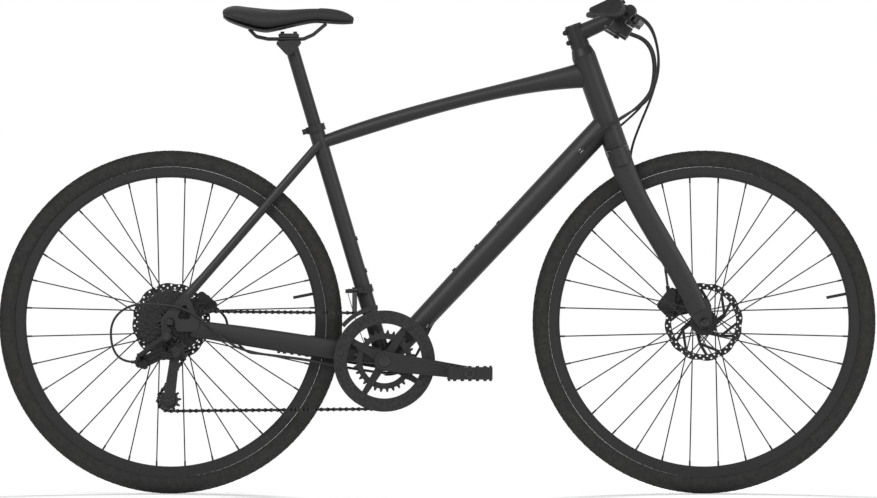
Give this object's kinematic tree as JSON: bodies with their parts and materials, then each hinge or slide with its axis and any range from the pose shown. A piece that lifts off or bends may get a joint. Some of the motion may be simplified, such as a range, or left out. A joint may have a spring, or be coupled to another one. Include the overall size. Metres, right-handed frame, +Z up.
{
  "type": "hybrid bicycle",
  "caption": "Flat-bar hybrid bicycle with spoked wheels, disc brakes, a double chainset with guard, chain derailleurs and an arched top tube.",
  "frame": {"origin": "on the floor midway between the two wheel contacts, in the mid-plane", "axes": "+X forward, +Y to the rider's left, +Z up"},
  "size_m": [1.7829, 0.6428, 1.0053],
  "materials": {
    "frame_paint": "satin",
    "black_alloy": "anodised satin",
    "tyre": "matt",
    "grip_rubber": "matt",
    "saddle_cover": "matt",
    "hard_plastic": "matt",
    "dark_steel": "dark"
  },
  "bodies": {
    "frame": {"head_tube": "frame_paint", "bottom_bracket_shell": "frame_paint", "top_tube": "frame_paint", "down_tube": "frame_paint", "seat_tube": "frame_paint", "bottle_bosses": "dark_steel", "chain_stays": "frame_paint", "seat_stays": "frame_paint", "dropouts": "frame_paint", "seat_collar": "black_alloy", "headset_cups": "black_alloy", "rear_caliper": "black_alloy", "rear_axle": "dark_steel", "derailleur_hanger_knuckle": "black_alloy", "front_derailleur_clamp": "black_alloy", "control_cables": "hard_plastic", "chain": "dark_steel"},
    "seat": {"seat_post": "black_alloy", "rail_clamp": "black_alloy", "saddle_cover": "saddle_cover", "saddle_shell": "hard_plastic", "saddle_rails": "dark_steel"},
    "steering": {"fork_crown": "frame_paint", "fork_blades": "frame_paint", "headset_spacers": "black_alloy", "stem": "black_alloy", "stem_face_plate": "black_alloy", "handlebar": "black_alloy", "grips": "grip_rubber", "control_pods": "black_alloy", "front_caliper": "black_alloy", "front_axle": "dark_steel", "front_brake_hose": "hard_plastic"},
    "front_wheel": {"front_tyre": "tyre", "front_rim": "black_alloy", "front_spokes": "dark_steel", "front_hub": "black_alloy", "front_rotor": "dark_steel"},
    "rear_wheel": {"rear_tyre": "tyre", "rear_rim": "black_alloy", "rear_spokes": "dark_steel", "rear_hub": "black_alloy", "rear_rotor": "dark_steel"},
    "cassette_body": {"cassette": "dark_steel"},
    "crank": {"crank_arm_right": "black_alloy", "crank_arm_left": "black_alloy", "chainrings": "dark_steel"},
    "right_pedal": {"pedal_right": "black_alloy"},
    "left_pedal": {"pedal_left": "black_alloy"},
    "right_brake_lever": {"brake_lever_right": "black_alloy"},
    "left_brake_lever": {"brake_lever_left": "black_alloy"},
    "right_shift_lever": {"shift_lever_right": "hard_plastic"},
    "left_shift_lever": {"shift_lever_left": "hard_plastic"},
    "outer_link": {"derailleur_outer_link": "black_alloy"},
    "inner_link": {"derailleur_inner_link": "black_alloy"},
    "moving_knuckle": {"derailleur_cage_knuckle": "black_alloy"},
    "chain_cage": {"derailleur_cage": "dark_steel"},
    "upper_pulley": {"guide_pulley": "hard_plastic"},
    "lower_pulley": {"tension_pulley": "hard_plastic"},
    "front_changer": {"front_derailleur_cage": "dark_steel"}
  },
  "joints": [
    {"name": "seat_height", "type": "slide", "parent": "frame", "child": "seat", "axis": [-0.284, 0, 0.9588], "range_m": [-0.09, 0.04]},
    {"name": "steering_turn", "type": "hinge", "parent": "frame", "child": "steering", "pos_m": [0.32846, 0, 0.80363], "axis": [-0.3338, 0, 0.9426], "range_deg": [-70, 70], "deforming": ["control_cables"]},
    {"name": "front_wheel_spin", "type": "hinge", "parent": "steering", "child": "front_wheel", "pos_m": [0.5425, 0, 0.349], "axis": [0, 1, 0], "continuous": true},
    {"name": "rear_wheel_spin", "type": "hinge", "parent": "frame", "child": "rear_wheel", "pos_m": [-0.5425, 0, 0.349], "axis": [0, 1, 0], "continuous": true},
    {"name": "crank_spin", "type": "hinge", "parent": "frame", "child": "crank", "pos_m": [-0.10762, 0, 0.27], "axis": [0, 1, 0], "continuous": true, "deforming": ["chain"]},
    {"name": "cassette_spin", "type": "hinge", "parent": "frame", "child": "cassette_body", "pos_m": [-0.5425, 0, 0.349], "axis": [0, 1, 0], "continuous": true},
    {"name": "right_pedal_spin", "type": "hinge", "parent": "crank", "child": "right_pedal", "pos_m": [0.06568, -0.12, 0.24565], "axis": [0, 1, 0], "continuous": true},
    {"name": "left_pedal_spin", "type": "hinge", "parent": "crank", "child": "left_pedal", "pos_m": [-0.28091, 0.12, 0.29435], "axis": [0, 1, 0], "continuous": true},
    {"name": "right_brake", "type": "hinge", "parent": "steering", "child": "right_brake_lever", "pos_m": [0.39937, -0.17552, 0.96062], "axis": [-0.5299, 0, -0.848], "range_deg": [0, 11], "stiffness_Nm_per_rad": 2, "springref_deg": -5.73},
    {"name": "left_brake", "type": "hinge", "parent": "steering", "child": "left_brake_lever", "pos_m": [0.39937, 0.17552, 0.96062], "axis": [0.5299, 0, 0.848], "range_deg": [0, 11], "stiffness_Nm_per_rad": 2, "springref_deg": -5.73},
    {"name": "right_shift", "type": "hinge", "parent": "steering", "child": "right_shift_lever", "pos_m": [0.36466, -0.15957, 0.93279], "axis": [0.5299, 0, 0.848], "range_deg": [0, 20], "stiffness_Nm_per_rad": 0.3, "springref_deg": -11.46},
    {"name": "left_shift", "type": "hinge", "parent": "steering", "child": "left_shift_lever", "pos_m": [0.36466, 0.15957, 0.93279], "axis": [-0.5299, 0, -0.848], "range_deg": [0, 20], "stiffness_Nm_per_rad": 0.3, "springref_deg": -11.46},
    {"name": "derailleur_shift", "type": "hinge", "parent": "frame", "child": "outer_link", "pos_m": [-0.59427, -0.06259, 0.27333], "axis": [0, 0.7314, 0.682], "range_deg": [0, 67.4], "stiffness_Nm_per_rad": 1, "springref_deg": -28.65, "deforming": ["chain"]},
    {"name": "inner_link_turn", "type": "hinge", "parent": "frame", "child": "inner_link", "pos_m": [-0.59427, -0.05441, 0.26456], "axis": [0, 0.7314, 0.682], "range_deg": [0, 67.4]},
    {"name": "knuckle_turn", "type": "hinge", "parent": "outer_link", "child": "moving_knuckle", "pos_m": [-0.556, -0.08, 0.292], "axis": [0, 0.7314, 0.682], "range_deg": [-67.4, 0]},
    {"name": "cage_swing", "type": "hinge", "parent": "moving_knuckle", "child": "chain_cage", "pos_m": [-0.532, -0.056, 0.288], "axis": [0, 1, 0], "range_deg": [-50, 12], "stiffness_Nm_per_rad": 0.6, "deforming": ["chain"]},
    {"name": "upper_pulley_spin", "type": "hinge", "parent": "chain_cage", "child": "upper_pulley", "pos_m": [-0.532, -0.056, 0.288], "axis": [0, 1, 0], "continuous": true},
    {"name": "lower_pulley_spin", "type": "hinge", "parent": "chain_cage", "child": "lower_pulley", "pos_m": [-0.54523, -0.056, 0.1909], "axis": [0, 1, 0], "continuous": true},
    {"name": "front_derailleur_shift", "type": "hinge", "parent": "frame", "child": "front_changer", "pos_m": [-0.16222, -0.032, 0.41382], "axis": [1, 0, 0], "range_deg": [0, 20], "stiffness_Nm_per_rad": 1, "springref_deg": -17.19, "deforming": ["chain"]}
  ],
  "couplings": [
    {"joint": "cassette_spin", "follows": "crank_spin", "ratio": 4.3636},
    {"joint": "upper_pulley_spin", "follows": "crank_spin", "ratio": -4.3636},
    {"joint": "lower_pulley_spin", "follows": "crank_spin", "ratio": 4.3636},
    {"joint": "inner_link_turn", "follows": "derailleur_shift", "ratio": 1},
    {"joint": "knuckle_turn", "follows": "derailleur_shift", "ratio": -1}
  ]
}
